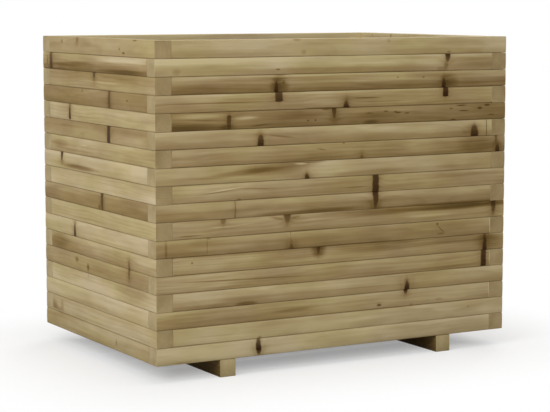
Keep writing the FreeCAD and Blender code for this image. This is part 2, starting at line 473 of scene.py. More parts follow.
def skid_screw_seats(node):
    """Places and directions of the two screws of a skid, under the middle of each long wall."""
    low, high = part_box(node)
    lath = (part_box("course_01_long_laths")[1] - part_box("course_01_long_laths")[0]).z
    middle = (low.x + high.x) / 2
    return [(Vector((middle, y, low.z)), Z) for y in (low.y + lath / 2, high.y - lath / 2)]


skid_low, skid_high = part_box("left_skid")
SKID_MARKS = (
    (Knot(-120, 11, -19, 8, 0.8), Stain(60, 180, 6, 14, 0.12)),
    (Knot(40, 9, 19, -6, 0.8), Stain(-90, 160, -8, 12, 0.12)),
)
plain_skid = planed_timber("skid", skid_low, skid_high, Y, SKID_CUTS)
for node, marks in zip(("left_skid", "right_skid"), SKID_MARKS):
    low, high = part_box(node)
    skid = copy_of(plain_skid, node + "_bar", low - skid_low)
    bore(skid, skid_screw_seats(node))
    lie = Lie(Y, ALONG_Y, (1, 1, 1), (low + high) / 2)
    # Painted shade: the skids' faces get dark heartwood tones for the shade under the bed; their sawn
    # ends stay pale.
    wood = pine(node + "_pine", lie, BROWN, HEART, RIFT_SAWN, marks, SKID_ENDS)
    finish_timber(skid, node, wood)
bpy.data.objects.remove(plain_skid)

# Floor boards
# Five planed pine boards lie lengthwise across the skids inside the walls, with a gap between them
# so that water drains. Each is screwed down with two countersunk screws over each skid.
BOARD_CUTS = 11
BOARD_SWELLING = X * 1.2 * MM
BOARD_SCREW_SPACING = 56 * MM
BOARDS = [name for name in sorted(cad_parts) if name.startswith("floor_board_")]
BOARD_LOOKS = (
    (SAND, TAN, FLAT_SAWN, (Knot(-180, 12, 49, 20, 0.8), Knot(250, 10, -49, -24, 0.8))),
    (HONEY, SAND, RIFT_SAWN, (Knot(60, 14, -49, -10, 0.8),)),
    (STRAW, HONEY, FLAT_SAWN, (Knot(310, 11, 49, 26, 0.8), Knot(-90, 9, -49, -30, 0.8))),
    (SAND, HONEY, NEAR_HEART, (Knot(-260, 13, -49, -16, 0.8),)),
    (HONEY, TAN, QUARTER_SAWN, (Knot(140, 12, 49, 12, 0.8),)),
)


def board_screw_seats(node):
    """Places and directions of the screws of a floor board, two over each skid."""
    low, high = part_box(node)
    middle = (low.y + high.y) / 2
    seats = []
    for skid in ("left_skid", "right_skid"):
        skid_low, skid_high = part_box(skid)
        for offset in (-BOARD_SCREW_SPACING / 2, BOARD_SCREW_SPACING / 2):
            seat = Vector(((skid_low.x + skid_high.x) / 2, middle + offset, high.z))
            seats.append((seat, -Z))
    return seats


board_low, board_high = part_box(BOARDS[0])
board_start, board_end = board_low - BOARD_SWELLING, board_high + BOARD_SWELLING
plain_board = planed_timber("board", board_start, board_end, X, BOARD_CUTS)
for node, (upper, lower, heart, marks) in zip(BOARDS, BOARD_LOOKS):
    low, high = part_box(node)
    board = copy_of(plain_board, node + "_plank", low - board_low)
    bore(board, board_screw_seats(node))
    lie = Lie(X, LYING_FLAT, (1, 1, 1), (low + high) / 2)
    finish_timber(board, node, pine(node + "_pine", lie, upper, lower, heart, marks))
bpy.data.objects.remove(plain_board)

# Floor screws
# Zinc-plated steel wood screws with a countersunk head and a six-point drive hold the boards down.
# The head is cold-forged, the drive is punched into it, and it sits just below the wood.
SCREW_SIDES = 12
HEAD_WIDTH = 9 * MM
HEAD_RIM = 0.3 * MM
HEAD_CONE = 2 * MM
SHANK_WIDTH = 4.5 * MM
TIP_LENGTH = 6 * MM
TIP_SHARE = 0.15
DRIVE_WIDTH = 4.4 * MM
DRIVE_DEPTH = 1.6 * MM
DRIVE_NOTCH = 0.74
DRIVE_ZONE = 0.6
HEAD_BELOW = 0.15 * MM
FLOOR_SCREW_LENGTH = 40 * MM
SCREW_SMOOTHING = math.radians(35)
TOUCHING, NEARLY = 1e-6, MM / 10


def push_out(piece, normal, step, shrink):
    """Extrudes the faces that look along a normal at the end of a screw, and narrows them."""
    end = max(vertex.co.dot(normal) for vertex in piece.data.vertices)

    def is_end(face):
        looks_on = face.normal.dot(normal) > ALIGNED
        return looks_on and face.calc_center_median().dot(normal) > end - TOUCHING

    bpy.ops.object.mode_set(mode="EDIT")
    pick(piece, "FACE", is_end)
    bpy.ops.mesh.extrude_region_move(TRANSFORM_OT_translate={"value": normal * step})
    bpy.ops.transform.resize(value=(shrink, shrink, 1), center_override=(0, 0, 0))
    bpy.ops.object.mode_set(mode="OBJECT")


def wood_screw(length):
    """One countersunk screw that points down from the origin."""
    bpy.ops.object.select_all(action="DESELECT")
    bpy.ops.mesh.primitive_cylinder_add(
        vertices=SCREW_SIDES,
        radius=HEAD_WIDTH / 2,
        depth=HEAD_RIM,
        location=(0, 0, -HEAD_RIM / 2),
    )
    screw = bpy.context.active_object
    bpy.ops.object.transform_apply(location=True, rotation=True, scale=True)
    push_out(screw, -Z, HEAD_CONE, SHANK_WIDTH / HEAD_WIDTH)
    push_out(screw, -Z, length - HEAD_RIM - HEAD_CONE - TIP_LENGTH, 1)
    push_out(screw, -Z, TIP_LENGTH, TIP_SHARE)
    bpy.ops.object.mode_set(mode="EDIT")
    pick(screw, "FACE", lambda face: face.normal.z > ALIGNED)
    bpy.ops.mesh.inset(thickness=(HEAD_WIDTH - DRIVE_WIDTH) / 2)
    ring_turn = 2 * math.pi / SCREW_SIDES

    def is_notch(corner):
        if abs(corner.co.z) > TOUCHING or corner.co.xy.length > DRIVE_ZONE * HEAD_WIDTH / 2:
            return False
        return round(math.atan2(corner.co.y, corner.co.x) / ring_turn) % 2 == 1

    def is_drive(face):
        return face.normal.z > ALIGNED and face.calc_center_median().xy.length < NEARLY

    pick(screw, "VERT", is_notch)
    bpy.ops.transform.resize(value=(DRIVE_NOTCH, DRIVE_NOTCH, 1), center_override=(0, 0, 0))
    pick(screw, "FACE", is_drive)
    bpy.ops.mesh.extrude_region_move(TRANSFORM_OT_translate={"value": -Z * DRIVE_DEPTH})
    bpy.ops.object.mode_set(mode="OBJECT")
    return screw


def drive_screws(name, length, seats):
    """Copies of one screw at all seats, joined to one piece."""
    pattern = wood_screw(length)
    driven = []
    for seat, drive in seats:
        screw = copy_of(pattern, name, Vector((0, 0, 0)))
        screw.rotation_euler = (-Z).rotation_difference(drive).to_euler()
        screw.location = seat + drive * HEAD_BELOW
        bpy.ops.object.transform_apply(location=True, rotation=True, scale=True)
        driven.append(screw)
    screws = joined(driven)
    bpy.data.objects.remove(pattern)
    screws.name = name
    bpy.ops.object.shade_smooth_by_angle(angle=SCREW_SMOOTHING)
    return screws


STEEL_RAMP = ((0, "8d8f8c"), (0.5, "a9a9a3"), (1, "c6c3b8"))
SPANGLE = ((900, 900, 900), 3)
STEEL_TONE, SPANGLE_TONE = 0.5, 1.2
STEEL_ROUGHNESS, SPANGLE_ROUGHNESS = 0.38, 0.4


def plated_steel():
    """Zinc plating: pale grey metal with cloudy spangle and rougher patches."""
    material = bpy.data.materials.new("zinc_plated_steel")
    material.use_nodes = True
    tree = material.node_tree
    surface = tree.nodes["Principled BSDF"]
    coordinates = tree.nodes.new("ShaderNodeTexCoord")
    clouds = stretched_noise(tree, coordinates.outputs["Object"], *SPANGLE)
    grey = maths(tree, "MULTIPLY_ADD", clouds, SPANGLE_TONE, STEEL_TONE)
    feed(tree, surface.inputs["Base Color"], colour_ramp(tree, grey, STEEL_RAMP))
    roughness = maths(tree, "MULTIPLY_ADD", clouds, SPANGLE_ROUGHNESS, STEEL_ROUGHNESS)
    feed(tree, surface.inputs["Roughness"], roughness)
    surface.inputs["Metallic"].default_value = 1.0
    return material


def finish_screws(screws, node):
    """Puts a set of screws on the frame in place of its plain node."""
    screws.data.materials.clear()
    screws.data.materials.append(steel)
    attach(screws, "root")
    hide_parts(node)


steel = plated_steel()
floor_seats = [seat for node in BOARDS for seat in board_screw_seats(node)]
finish_screws(drive_screws("floor_screw_set", FLOOR_SCREW_LENGTH, floor_seats), "floor_screws")

# Wall laths
# Seventy-two square laths of planed, pressure-treated pine are stacked in eighteen courses. In each
# course every lath runs past one neighbour and butts against the next, turn about, like a box joint.
LATH_CUTS = 23
LATH_CROWN = 0.5 * MM
CROWN_ROWS = (-0.25, 0, 0.25)
SEAM = 0.5 * MM
BUTT_GAP = 0.8 * MM
WAVINESS, WAVE_SIZE = 0.4 * MM, 0.14
# A painted shade along the lower edge of every lath, where the seam below it lies in shade.
PAINTED_SEAM_SHADE = Stain(0, 6000, -20, 7, 0.2)
# Sawn ends are painted paler from one row down to the lowest, as painted light against the lamps'
# falloff near the floor, and the back wall's are paler than the rest.
UPPER_END_TONE, LOWEST_END_TONE, BACK_END_PALER, PALING_ROW = 0.53, 0.83, 0.14, 10
# The upper and lower tones of a look are partly the wood's own colour and partly painted shade:
# most laths are given a lighter top and a darker bottom, as light from above falls on them.
Look = collections.namedtuple("Look", "upper lower heart marks")

# The front wall's laths from the rim down, marked from the middle of the wall, left to right.
# Stains that run a whole lath at about 16 to 19 mm above or below its middle make the painted seam
# The narrow pale stains at 410.5 mm are painted highlights on the sawn edge beside the butt joint,
# and the broad pale stain low on the left of the lowest lath is painted light against the shade near the
# floor.
# shade along that edge darker or lighter, and a pale one along the top edge is a painted highlight.
FRONT_LOOKS = (
    Look(STRAW, SAND, FLAT_SAWN, (
        Stain(-110, 24, 17, 8, 0.2), Stain(-93, 18, -9, 14, 0.16), Stain(126, 14, 13, 14, 0.12),
        Stain(289, 14, -15, 9, 0.22), Stain(440, 320, 0, 60, -0.12), Stain(-330, 220, -11, 26, 0.08),
    )),
    Look(PALE, HONEY, FLAT_SAWN, (
        Stain(-157, 15, -8, 5, 0.4), Stain(-400, 26, -9, 16, 0.14), Knot(286, 16, 21, 0, 1, 1.6),
        Stain(281, 17, -6, 32, 0.22), Stain(268, 30, -14, 12, 0.16), Stain(400, 320, 4, 40, 0.28),
        Stain(-330, 240, -13, 20, -0.07), Stain(-60, 420, 10, 26, 0.06), Stain(100, 700, -10, 26, 0.05),
        Stain(0, 900, -19, 6, 0.12),
    )),
    Look(SAND, BROWN, NEAR_HEART, (
        Knot(-161, 11, -21, 9), Stain(-152, 56, -5, 40, 0.3), Stain(-143, 12, 2, 10, 0.2),
        Stain(-150, 30, 17, 6, 0.2), Stain(151, 8, 7, 4, 0.35), Stain(220, 8, 6, 4, 0.35),
        Knot(276, 13, -21, 6), Stain(292, 60, -3, 34, 0.26), Stain(110, 220, 10, 24, -0.08),
        Stain(100, 240, -11, 22, 0.12), Stain(-340, 240, -11, 24, 0.08), Stain(400, 130, 2, 50, -0.1),
        Stain(0, 900, 16, 9, -0.11),
    )),
    Look(SAND, HONEY, RIFT_SAWN, (
        Knot(-155, 20, 0, 60, 0.9), Knot(281, 16, 0, 60), Stain(-300, 330, 0, 4, 0.3),
        Knot(16, 18, -20, 1, 1, 1), Stain(70, 100, 1, 4, 0.35), Stain(110, 160, -7, 4, 0.2),
        Stain(-40, 110, -18, 4, 0.3), Stain(-320, 240, 10, 26, -0.08), Stain(-120, 200, 10, 24, 0.06),
        Stain(0, 900, 16, 9, -0.11),
    )),
    Look(TAN, BROWN, NEAR_HEART, (
        Knot(-276, 11, 10, -40, 0.8), Stain(-284, 40, -13, 16, 0.24), Stain(-340, 166, 11, 14, -0.28),
        Stain(-330, 120, 2, 4, 0.2, -0.04), Stain(-236, 76, 5, 9, -0.32, 0.03),
        Stain(-370, 240, -11, 22, 0.34), Stain(-120, 200, 8, 24, 0.18),
        Knot(-15, 13, 21, -8, 0.85, 1.3), Stain(80, 50, -15, 12, 0.3), Stain(-36, 30, 17, 5, 0.3),
        Stain(-82, 6, -6, 5, 0.45), Stain(-63, 6, -6, 5, 0.45), Stain(76, 26, 5, 4, 0.25),
        Stain(120, 16, 8, 5, 0.35), Stain(152, 22, 4, 5, 0.4), Stain(297, 12, 9, 4, 0.35),
        Stain(325, 34, 15, 4, 0.45), Stain(332, 36, 3, 4, 0.45), Stain(377, 16, 8, 8, 0.5),
        Stain(398, 20, 14, 6, 0.5), Stain(303, 20, -17, 5, 0.4), Stain(90, 220, 12, 20, -0.1),
        Stain(176, 18, 2, 4, 0.35), Stain(145, 10, 7, 4, 0.35), Stain(-200, 60, -12, 4, 0.25, 0.1),
        Stain(410, 24, -8, 4, 0.3), Stain(330, 240, 8, 26, 0.06),
    )),
    Look(STRAW, HONEY, FLAT_SAWN, (
        Knot(-200, 16, -22, 7, 1, 4), Stain(-150, 90, 0, 5, 0.22, -0.12), Knot(363, 23, -22, 9, 1, 3),
        Stain(350, 60, -4, 34, 0.14), Knot(397, 2.4, -60, 120, 0.75), Stain(100, 180, 9, 16, -0.12),
        Stain(-200, 480, 10, 26, 0.13), Stain(330, 240, -12, 20, 0.07), Stain(410.5, 3.4, 0, 60, -0.15),
        Stain(60, 800, 8, 40, 0.05),
    )),
    Look(SAND, TAN, RIFT_SAWN, (
        Stain(10, 10, 17, 5, 0.3), Knot(57, 11, -21, -6, 0.6, 1), Stain(-47, 30, 6, 5, 0.2, -0.2),
        Knot(424, 8, 28, -4, 0.65), Knot(429, 14, -23, 2), Stain(370, 130, 0, 60, 0.22),
        Stain(215, 110, 4, 30, -0.1), Stain(-320, 220, -10, 26, -0.09), Stain(-110, 220, 0, 60, 0.1),
    )),
    Look(STRAW, SAND, FLAT_SAWN, (
        Stain(-150, 220, 12, 33, 0.4, 0.05), Stain(-240, 220, 3, 14, 0.28, 0.06),
        Stain(-100, 40, 15, 6, -0.4), Stain(-70, 90, 17, 4, 0.35), Knot(-84, 12, -23, -6, 1, 3),
        Stain(80, 240, -12, 22, 0.18), Stain(290, 90, -8, 14, 0.12), Stain(-330, 130, -7, 6, 0.12),
        Stain(-120, 200, -8, 20, 0.08),
    )),
    Look(SAND, HONEY, RIFT_SAWN, (
        Knot(94, 19, -60, 130), Stain(-300, 110, 1, 4, 0.22, 0.08), Stain(-215, 120, 4, 4, 0.2, -0.05),
        Stain(-285, 110, 5, 4, -0.2, 0.08), Stain(-253, 14, -18, 6, 0.3), Stain(-60, 160, 10, 6, -0.12),
        Stain(40, 90, -6, 4, 0.2), Stain(-330, 260, 2, 60, -0.14), Stain(330, 240, 10, 26, 0.15),
    )),
    Look(SAND, TAN, FLAT_SAWN, (
        Knot(-262, 3, -60, 120, 0.6), Knot(94, 17, 30, -24), Stain(260, 420, -17, 8, 0.18),
        Stain(-80, 320, -14, 17, 0.27), Stain(-330, 240, 4, 44, -0.14), Stain(60, 200, 8, 26, -0.1),
        Stain(0, 900, -19, 6, -0.16),
    )),
    Look(SAND, HONEY, RIFT_SAWN, (
        Knot(-291, 14, 21, 6, 0.6), Stain(-291, 90, 2, 4, -0.2), Stain(-245, 60, 4, 4, -0.12, 0.05),
        Knot(-134, 20, 22, -3, 0.8, 1.2), Stain(-158, 46, 12, 9, 0.22, -0.2),
        Stain(-112, 36, 12, 9, 0.18, 0.2), Stain(325, 400, 14, 25, 0.68), Stain(90, 320, 12, 26, 0.3),
        Stain(90, 280, -9, 24, 0.06), Knot(419, 15, 24, -14, 0.9), Stain(-370, 80, -12, 4, 0.3),
        Stain(240, 200, -4, 8, -0.12), Stain(-60, 140, 4, 6, -0.15),
    )),
    Look(SAND, TAN, FLAT_SAWN, (
        Stain(-427, 8, 0, 60, 0.18), Knot(-124, 15, -21, -3, 0.7, 1), Knot(-125, 2.4, -30, 120, 0.4),
        Stain(262, 8, 12, 8, 0.4), Stain(272, 26, 0, 5, 0.25, -0.8), Stain(272, 30, -10, 6, 0.2),
        Stain(-326, 14, 18, 5, 0.25), Stain(-330, 4, 0, 44, 0.15), Stain(250, 440, 8, 34, 0.13),
        Stain(410.5, 3.4, 0, 60, -0.45),
    )),
    Look(SAND, HONEY, QUARTER_SAWN, (
        Stain(-366, 7, 6, 6, 0.35), Knot(-54, 9, 22, 2, 0.85, 3), Stain(-54, 46, 15, 40, 0.3),
        Knot(396, 16, -60, 30, 1.1), Stain(410, 110, 4, 50, 0.24), Stain(150, 420, 9, 24, 0.28),
        Stain(-120, 200, 8, 26, 0.2), Stain(-350, 180, -4, 40, -0.08), Stain(340, 260, 10, 22, 0.23),
        Stain(0, 900, 17, 10, 0.2),
    )),
    Look(SAND, HONEY, RIFT_SAWN, (
        Knot(393, 16, -40, 140), Stain(-250, 420, 0, 4, 0.32, -0.028), Stain(-300, 140, -9, 8, -0.12),
        Stain(-330, 260, 0, 60, -0.13), Stain(90, 220, 10, 26, -0.08), Stain(300, 260, -13, 12, 0.12),
        Stain(410.5, 3.4, 0, 60, -0.45),
    )),
    Look(STRAW, HONEY, FLAT_SAWN, (
        Stain(-235, 70, -16, 12, 0.3), Knot(180, 15, -24, 5, 1.05), Stain(-330, 150, -14, 12, 0.1),
        Stain(60, 200, -4, 4, 0.12), Stain(200, 520, 10, 26, 0.08),
    )),
    Look(STRAW, HONEY, NEAR_HEART, (
        Knot(176, 14, 26, 9, 1.1), Stain(105, 16, -10, 7, 0.6), Stain(104, 24, -5, 4, 0.15),
        Stain(-250, 400, 2, 40, 0.08), Stain(-120, 110, -2, 10, 0.16), Stain(192, 14, -16, 6, 0.2),
        Stain(268, 26, -10, 10, 0.14), Stain(-120, 220, 0, 60, 0.08), Stain(160, 420, -11, 26, -0.09),
        Stain(410.5, 3.4, 0, 60, -0.3),
    )),
    Look(STRAW, STRAW, FLAT_SAWN, (
        Stain(-203, 13, -18, 12, 0.35), Stain(-300, 160, -3, 4, 0.1), Stain(351, 10, 4, 6, 0.15),
        Stain(-330, 260, -10, 26, -0.05), Stain(110, 260, -10, 24, 0.07),
    )),
    Look(PALE, STRAW, FLAT_SAWN, (
        Knot(-206, 14, -4, 24), Knot(-205, 13, -4, -17), Stain(330, 300, 0, 50, 0.08),
        Stain(-390, 60, -16, 6, 0.14), Stain(-330, 280, -8, 44, -0.12), Stain(-150, 600, -12, 24, -0.1),
    )),
)

# The left wall's laths from the rim down, marked from the middle of the wall, front to back.
# As on the front wall, stains that run a whole lath at about 16 to 19 mm above or below its middle
# make the painted seam shade darker or lighter, or paint a highlight along the top edge.
LEFT_LOOKS = (
    Look(SAND, SAND, FLAT_SAWN, (
        Stain(186, 16, 8, 12, 0.28), Knot(99, 8, 22, 4, 0.6), Stain(-205, 28, 17, 4, 0.4),
        Stain(-128, 12, -2, 8, 0.3), Stain(-149, 18, -11, 6, 0.55), Stain(60, 110, 6, 24, 0.06),
    )),
    Look(STRAW, BROWN, NEAR_HEART, (
        Knot(252, 19, -40, 60, 0.85), Stain(274, 14, 2, 26, 0.2), Stain(140, 280, -4, 14, 0.28, -0.02),
        Stain(-140, 260, 9, 16, -0.2), Stain(-160, 220, -14, 14, 0.26), Stain(0, 640, -19, 6, -0.16),
    )),
    Look(HONEY, SAND, RIFT_SAWN, (
        Knot(6, 13, 30, 0, 0.9), Stain(-120, 220, 10, 8, 0.14), Stain(-20, 300, -2, 6, -0.14),
    )),
    Look(HONEY, TAN, FLAT_SAWN, (
        Stain(74, 14, 14, 10, 0.2), Knot(-73, 13, 60, -60, 0.75), Stain(-165, 12, 2, 7, 0.3),
        Stain(130, 280, 9, 24, 0.07), Stain(0, 640, -19, 6, -0.14),
    )),
    Look(STRAW, STRAW, RIFT_SAWN, (
        Knot(145, 12, -15, 22, 0.95), Stain(60, 260, -7, 4, 0.14), Stain(0, 640, -19, 6, -0.18),
    )),
    Look(HONEY, SAND, FLAT_SAWN, (
        Knot(-68, 17, -30, 90, 0.95), Stain(-190, 200, 9, 20, 0.14), Stain(140, 200, 6, 8, 0.1),
    )),
    Look(STRAW, SAND, RIFT_SAWN, (
        Stain(200, 110, 2, 26, 0.14), Stain(120, 240, -10, 8, 0.12), Stain(-100, 200, 2, 5, 0.1),
        Stain(70, 60, 4, 5, -0.15),
    )),
    Look(PALE, STRAW, FLAT_SAWN, (
        Knot(195, 14, 34, -4, 1.08, 3), Stain(90, 230, -11, 14, 0.42), Stain(170, 220, -8, 18, 0.12),
        Stain(0, 640, 10, 26, 0.07),
    )),
    Look(STRAW, PALE, QUARTER_SAWN, (
        Stain(-60, 300, 4, 4, 0.1), Stain(0, 700, 0, 70, 0.07), Stain(0, 640, -19, 6, -0.08),
        Stain(170, 200, -10, 22, 0.07), Stain(-170, 200, -10, 22, 0.07), Stain(0, 220, 0, 34, -0.08),
    )),
    Look(HONEY, TAN, FLAT_SAWN, (
        Knot(-29, 15, 26, -30, 0.85), Stain(-14, 16, -12, 12, 0.25), Stain(-170, 200, 0, 44, 0.1),
        Stain(150, 200, 8, 10, -0.1), Stain(0, 640, 16, 10, -0.1),
    )),
    Look(STRAW, STRAW, RIFT_SAWN, (
        Stain(40, 340, -9, 5, 0.12), Stain(0, 640, -19, 6, 0.26),
    )),
    Look(PALE, STRAW, FLAT_SAWN, (
        Knot(124, 15, -28, 15), Stain(-60, 260, -12, 7, 0.1),
    )),
    Look(STRAW, HONEY, RIFT_SAWN, (
        Stain(220, 150, 0, 50, 0.26), Knot(-167, 10, -26, 2, 0.7), Stain(-140, 260, 10, 24, 0.08),
    )),
    Look(SAND, HONEY, NEAR_HEART, (
        Knot(-167, 10, 26, -6, 0.75), Stain(115, 26, 5, 14, 0.3), Stain(52, 18, -5, 22, 0.42),
    )),
    Look(STRAW, PALE, RIFT_SAWN, (
        Stain(-180, 200, 8, 24, 0.18), Stain(80, 260, 5, 5, 0.12), Stain(52, 10, 14, 18, 0.14),
        Stain(-160, 240, -10, 24, 0.12),
    )),
    Look(PALE, STRAW, FLAT_SAWN, (
        Stain(60, 300, -10, 12, 0.1),
    )),
    Look(STRAW, STRAW, RIFT_SAWN, (
        Stain(250, 44, -4, 26, 0.3), Stain(205, 26, -1, 30, 0.2), Stain(228, 90, -12, 12, 0.2),
        Stain(20, 280, -12, 6, 0.1), Stain(-140, 280, -8, 34, -0.07), Stain(-60, 520, -16, 10, -0.08),
    )),
    Look(SAND, SAND, FLAT_SAWN, (
        Stain(-97, 8, 0, 18, 0.32), Stain(100, 260, -10, 10, 0.1), Stain(-40, 600, 0, 70, -0.06),
        Stain(-60, 620, 13, 20, -0.14),
    )),
)

# The other two walls have the same timber in another order, under rim laths of their own.
BACK_RIM = Look(PALE, STRAW, FLAT_SAWN, (
    Stain(-60, 260, 15, 20, 0.14), Knot(160, 11, -21, 6, 0.8), Stain(-300, 140, -6, 12, 0.12),
))
RIGHT_RIM = Look(PALE, STRAW, RIFT_SAWN, (
    Stain(-210, 8, 14, 5, 0.3), Stain(-125, 10, 14, 12, 0.35), Stain(-42, 130, 15, 18, 0.08),
    Knot(90, 10, -21, 8, 0.8),
))
BACK_LOOKS = (BACK_RIM,) + FRONT_LOOKS[8:] + FRONT_LOOKS[:7]
RIGHT_LOOKS = (RIGHT_RIM,) + LEFT_LOOKS[6:] + LEFT_LOOKS[:5]


def crowned_lath(name, size, run, out):
    """A plain lath about the origin whose two wall faces have swelled a little along their middle."""
    lath = planed_timber(name, -size / 2, size / 2, run, LATH_CUTS)
    bpy.ops.object.mode_set(mode="EDIT")
    rows = [size.z * share for share in CROWN_ROWS]
    for row in rows:
        bpy.ops.mesh.select_all(action="SELECT")
        bpy.ops.mesh.bisect(plane_co=Z * row, plane_no=Z)
    for row in rows:
        pick(lath, "VERT", lambda corner: abs(corner.co.z - row) < NEARLY)
        swell = LATH_CROWN * (1 - (2 * row / size.z) ** 2)
        growth = 1 + 2 * swell / abs(size.dot(out))
        stretch = [growth if part else 1 for part in out]
        bpy.ops.transform.resize(value=stretch, center_override=(0, 0, 0))
    bpy.ops.object.mode_set(mode="OBJECT")
    bpy.ops.object.shade_smooth_by_angle(angle=TIMBER_SMOOTHING)
    return lath


def dry_out(lath):
    """Timber is never quite flat once it has dried: a slow, shallow waviness, different everywhere."""
    bpy.context.view_layer.objects.active = lath
    warp = lath.modifiers.new("drying", "DISPLACE")
    warp.texture = drying
    warp.texture_coords = "GLOBAL"
    warp.strength = WAVINESS
    warp.mid_level = NOISE_MEAN
    bpy.ops.object.modifier_apply(modifier=warp.name)


drying = bpy.data.textures.new("drying", "CLOUDS")
drying.noise_scale = WAVE_SIZE
courses = sorted(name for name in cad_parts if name.startswith("course_"))
course_count = len(courses) // 2
bottom_low, bottom_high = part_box("course_01_long_laths")
lath_side = bottom_high.z - bottom_low.z
bed_length, bed_width = bottom_high.x - bottom_low.x, bottom_high.y - bottom_low.y
lath_height = lath_side - SEAM
long_size = Vector((bed_length - lath_side - BUTT_GAP, lath_side, lath_height))
end_size = Vector((lath_side, bed_width - lath_side - BUTT_GAP, lath_height))
long_lath = crowned_lath("long_lath", long_size, X, Y)
end_lath = crowned_lath("end_lath", end_size, Y, X)
for course in range(1, course_count + 1):
    row = course_count - course
    # Painted light: the lower rows' sawn ends are painted paler to make up for the weaker light near the
    # floor.
    painted_end_lift = max(0, row - PALING_ROW) / (course_count - 1 - PALING_ROW)
    end_tone = UPPER_END_TONE + (LOWEST_END_TONE - UPPER_END_TONE) * painted_end_lift
    back_end_tone = end_tone + BACK_END_PALER
    turn = (1 if course % 2 == 0 else -1) * (lath_side + BUTT_GAP) / 2
    long_node = f"course_{course:02d}_long_laths"
    end_node = f"course_{course:02d}_end_laths"
    z = (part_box(long_node)[0].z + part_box(long_node)[1].z) / 2
    wall_y = (bed_width - lath_side) / 2
    wall_x = (bed_length - lath_side) / 2
    for wall, pattern, node, shift, lie, look, ends in (
        (
            "front", long_lath, long_node, Vector((turn, -wall_y, z)),
            Lie(X, ALONG_X, (1, -1, 1), Vector((0, -wall_y, z))),
            FRONT_LOOKS[row], (PALE_ENDS, end_tone),
        ),
        (
            "back", long_lath, long_node, Vector((-turn, wall_y, z)),
            Lie(X, ALONG_X, (-1, 1, 1), Vector((0, wall_y, z))),
            BACK_LOOKS[row], (PALE_ENDS, back_end_tone),
        ),
        (
            "left", end_lath, end_node, Vector((-wall_x, -turn, z)),
            Lie(Y, ALONG_Y, (1, 1, 1), Vector((-wall_x, 0, z))),
            LEFT_LOOKS[row], (DULL_ENDS, end_tone),
        ),
        (
            "right", end_lath, end_node, Vector((wall_x, turn, z)),
            Lie(Y, ALONG_Y, (-1, -1, 1), Vector((wall_x, 0, z))),
            RIGHT_LOOKS[row], (DULL_ENDS, end_tone),
        ),
    ):
        name = f"course_{course:02d}_{wall}_lath"
        lath = copy_of(pattern, name, shift)
        dry_out(lath)
        marks = look.marks + (PAINTED_SEAM_SHADE,)
        wood = pine(name + "_pine", lie, look.upper, look.lower, look.heart, marks, *ends)
        finish_timber(lath, node, wood)
bpy.data.objects.remove(long_lath)
bpy.data.objects.remove(end_lath)

# Skid screws
# One zinc-plated screw at each end of a skid goes up through it into the lowest long lath. It is
# longer than the floor screws, and otherwise the same.
SKID_SCREW_LENGTH = 62 * MM
skid_seats = [seat for node in ("left_skid", "right_skid") for seat in skid_screw_seats(node)]
finish_screws(drive_screws("skid_screw_set", SKID_SCREW_LENGTH, skid_seats), "skid_screws")

# Corner posts
# A square pine post stands in each inner corner on the floor boards, stops just below the rim and
# ties all the courses together. It is bored and countersunk for two screws in every course.
POST_CUTS = 17
POST_LOOKS = {
    "front_left": (SAND, HONEY, FLAT_SAWN, (Knot(-150, 12, 19, -8, 0.8), Knot(170, 10, -19, 4, 0.8))),
    "front_right": (STRAW, SAND, RIFT_SAWN, (Knot(60, 11, -19, 10, 0.8),)),
    "back_left": (HONEY, TAN, FLAT_SAWN, (Knot(210, 12, 19, 0, 0.8), Knot(-220, 9, -19, 6, 0.8))),
    "back_right": (SAND, SAND, QUARTER_SAWN, (Knot(-60, 10, 19, -4, 0.8),)),
}


def post_screw_seats(node):
    """Places and directions of a post's screws: in each course one into the long wall, a third of the
    way up the part of the course beside the post, and one into the end wall, two thirds up."""
    low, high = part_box(node)
    middle = (low + high) / 2
    long_wall, end_wall = math.copysign(1, middle.y), math.copysign(1, middle.x)
    half = (high.x - low.x) / 2
    seats = []
    for course in range(1, course_count + 1):
        course_low, course_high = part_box(f"course_{course:02d}_long_laths")
        bottom, top = max(course_low.z, low.z), min(course_high.z, high.z)
        third = (top - bottom) / 3
        seats.append((Vector((middle.x, middle.y - long_wall * half, bottom + third)), Y * long_wall))
        seats.append((Vector((middle.x - end_wall * half, middle.y, top - third)), X * end_wall))
    return seats


post_low, post_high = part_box("front_left_corner_post")
plain_post = planed_timber("post", post_low, post_high, Z, POST_CUTS)
for corner, (upper, lower, heart, marks) in POST_LOOKS.items():
    node = corner + "_corner_post"
    low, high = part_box(node)
    post = copy_of(plain_post, corner + "_post", low - post_low)
    bore(post, post_screw_seats(node))
    lie = Lie(Z, ALONG_Z, (1, -math.copysign(1, low.y), 1), (low + high) / 2)
    finish_timber(post, node, pine(node + "_pine", lie, upper, lower, heart, marks))
bpy.data.objects.remove(plain_post)

# Wall screws
# From inside, one zinc-plated steel screw goes through a post into the end of every lath, so that no
# fastener shows on the outside of the walls.
WALL_SCREW_LENGTH = 60 * MM
wall_seats = [seat for corner in POST_LOOKS for seat in post_screw_seats(corner + "_corner_post")]
finish_screws(drive_screws("wall_screw_set", WALL_SCREW_LENGTH, wall_seats), "wall_screws")

